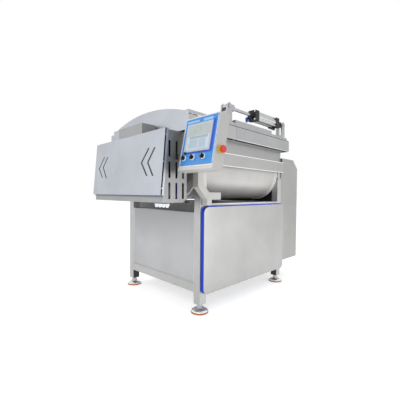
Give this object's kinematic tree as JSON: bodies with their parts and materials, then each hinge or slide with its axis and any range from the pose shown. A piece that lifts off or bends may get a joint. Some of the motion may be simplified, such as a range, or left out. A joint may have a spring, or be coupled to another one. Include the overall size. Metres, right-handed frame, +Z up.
{
  "type": "tilting vacuum meat mixer",
  "caption": "Tilting twin-shaft vacuum meat mixer: stainless frame and double trough under a hinged lid worked by an air cylinder, chain drives in a vented box, side cabinet, console on an arm.",
  "frame": {"origin": "middle of the whole machine's footprint, on the floor", "axes": "+X along the trough towards the side cabinet, +Y from the service cover to the tilt pivot, +Z up"},
  "size_m": [1.7466, 1.3134, 1.509],
  "materials": {
    "stainless": "bead blasted",
    "tank_steel": "satin ground",
    "lid_steel": "satin ground",
    "machined_steel": "turned and polished",
    "cover_sheet": "fine brushed, blue grey",
    "blue_rubber": "smooth",
    "orange_rubber": "matt",
    "black_rubber": "matt",
    "console_paint": "satin",
    "blue_face": "satin film",
    "screen_bezel": "satin",
    "screen_glass": "smooth",
    "black_plastic": "matt",
    "yellow_plastic": "smooth",
    "red_plastic": "smooth",
    "white_plastic": "smooth",
    "motor_blue": "gloss enamel",
    "cast_paint": "painted",
    "anodised": "anodised",
    "black_anodised": "matt anodised",
    "chain_steel": "oiled"
  },
  "bodies": {
    "base": {"post_near_left": "stainless", "post_near_right": "stainless", "post_far_left": "stainless", "post_far_right": "stainless", "frame_rails": "stainless", "left_panel": "stainless", "far_panel": "stainless", "service_cover": "stainless", "service_cover_seal": "blue_rubber", "foot_pads": "orange_rubber", "foot_cups": "machined_steel", "floor_tray": "stainless", "vacuum_pump": "cast_paint", "cabinet_shell": "stainless", "tilt_gearbox": "cast_paint", "pillow_blocks": "machined_steel", "rest_pads": "black_rubber", "console_arm": "stainless", "console_housing": "console_paint", "console_face": "blue_face", "screen_frame": "screen_bezel", "screen_glass": "screen_glass", "selector_rings": "black_plastic", "estop_ring": "yellow_plastic"},
    "tank_unit": {"trough_shell": "tank_steel", "end_plate_left": "tank_steel", "end_plate_right": "tank_steel", "rim_channel": "tank_steel", "collar": "tank_steel", "collar_gasket": "black_rubber", "bearing_housings": "machined_steel", "drive_plate": "tank_steel", "drive_standoffs": "tank_steel", "trunnions": "machined_steel", "rest_blocks": "tank_steel", "hood": "lid_steel", "hood_pins": "machined_steel", "rod_bracket": "lid_steel", "drive_box": "stainless", "drive_box_cover": "cover_sheet", "drive_box_hump": "stainless", "gear_motors": "motor_blue", "cable_glands": "white_plastic", "drive_chains": "chain_steel", "vacuum_port": "machined_steel"},
    "near_shaft": {"mixing_shaft_near": "machined_steel"},
    "far_shaft": {"mixing_shaft_far": "machined_steel"},
    "near_pinion": {"pinion_near": "machined_steel"},
    "far_pinion": {"pinion_far": "machined_steel"},
    "opening_lid": {"lid": "lid_steel", "cylinder_lug": "lid_steel", "lug_pins": "machined_steel"},
    "rod": {"piston_rod": "machined_steel"},
    "cylinder": {"cylinder_barrel": "anodised", "cylinder_caps": "black_anodised"},
    "left_selector": {"selector_left": "black_plastic"},
    "middle_selector": {"selector_middle": "black_plastic"},
    "right_selector": {"selector_right": "black_plastic"},
    "stop_button": {"estop_head": "red_plastic"},
    "side_door": {"cabinet_door": "stainless"}
  },
  "joints": [
    {"name": "tilt", "type": "hinge", "parent": "base", "child": "tank_unit", "pos_m": [-0.00125, 0.56665, 0.989], "axis": [-1, 0, 0], "range_deg": [0, 90]},
    {"name": "near_shaft_spin", "type": "hinge", "parent": "tank_unit", "child": "near_shaft", "pos_m": [-0.00125, -0.06835, 1.005], "axis": [1, 0, 0], "continuous": true},
    {"name": "far_shaft_spin", "type": "hinge", "parent": "tank_unit", "child": "far_shaft", "pos_m": [-0.00125, 0.36165, 1.005], "axis": [1, 0, 0], "continuous": true},
    {"name": "near_pinion_spin", "type": "hinge", "parent": "tank_unit", "child": "near_pinion", "pos_m": [-0.68325, -0.00335, 0.842], "axis": [1, 0, 0], "continuous": true},
    {"name": "far_pinion_spin", "type": "hinge", "parent": "tank_unit", "child": "far_pinion", "pos_m": [-0.68325, 0.29665, 0.842], "axis": [1, 0, 0], "continuous": true},
    {"name": "lid_hinge", "type": "hinge", "parent": "tank_unit", "child": "opening_lid", "pos_m": [-0.20425, 0.15665, 1.374], "axis": [0, -1, 0], "range_deg": [0, 60]},
    {"name": "rod_pivot", "type": "hinge", "parent": "tank_unit", "child": "rod", "pos_m": [-0.26025, -0.28935, 1.466], "axis": [0, -1, 0], "range_deg": [0, 60.5]},
    {"name": "cylinder_slide", "type": "slide", "parent": "rod", "child": "cylinder", "axis": [-1, 0, 0], "range_m": [0, 0.1085]},
    {"name": "left_selector_turn", "type": "hinge", "parent": "base", "child": "left_selector", "pos_m": [-0.76402, -0.39135, 1.02694], "axis": [0.9788, 0, -0.2046], "range_deg": [-45, 45]},
    {"name": "middle_selector_turn", "type": "hinge", "parent": "base", "child": "middle_selector", "pos_m": [-0.76402, -0.46435, 1.02694], "axis": [0.9788, 0, -0.2046], "range_deg": [-45, 45]},
    {"name": "right_selector_turn", "type": "hinge", "parent": "base", "child": "right_selector", "pos_m": [-0.76402, -0.54835, 1.02694], "axis": [0.9788, 0, -0.2046], "range_deg": [-45, 45]},
    {"name": "stop_press", "type": "slide", "parent": "base", "child": "stop_button", "axis": [0, 1, 0], "range_m": [0, 0.006], "stiffness_N_per_m": 1500, "springref_m": -0.004},
    {"name": "door_hinge", "type": "hinge", "parent": "base", "child": "side_door", "pos_m": [0.86625, 0.60365, 0.6], "axis": [0, 0, 1], "range_deg": [0, 110]}
  ],
  "couplings": [
    {"joint": "far_shaft_spin", "follows": "near_shaft_spin", "ratio": -1},
    {"joint": "near_pinion_spin", "follows": "near_shaft_spin", "ratio": 2},
    {"joint": "far_pinion_spin", "follows": "near_shaft_spin", "ratio": -2},
    {"joint": "rod_pivot", "follows": "lid_hinge", "ratio": 0.9965},
    {"joint": "cylinder_slide", "follows": "lid_hinge", "m_per_rad": 0.10282}
  ]
}
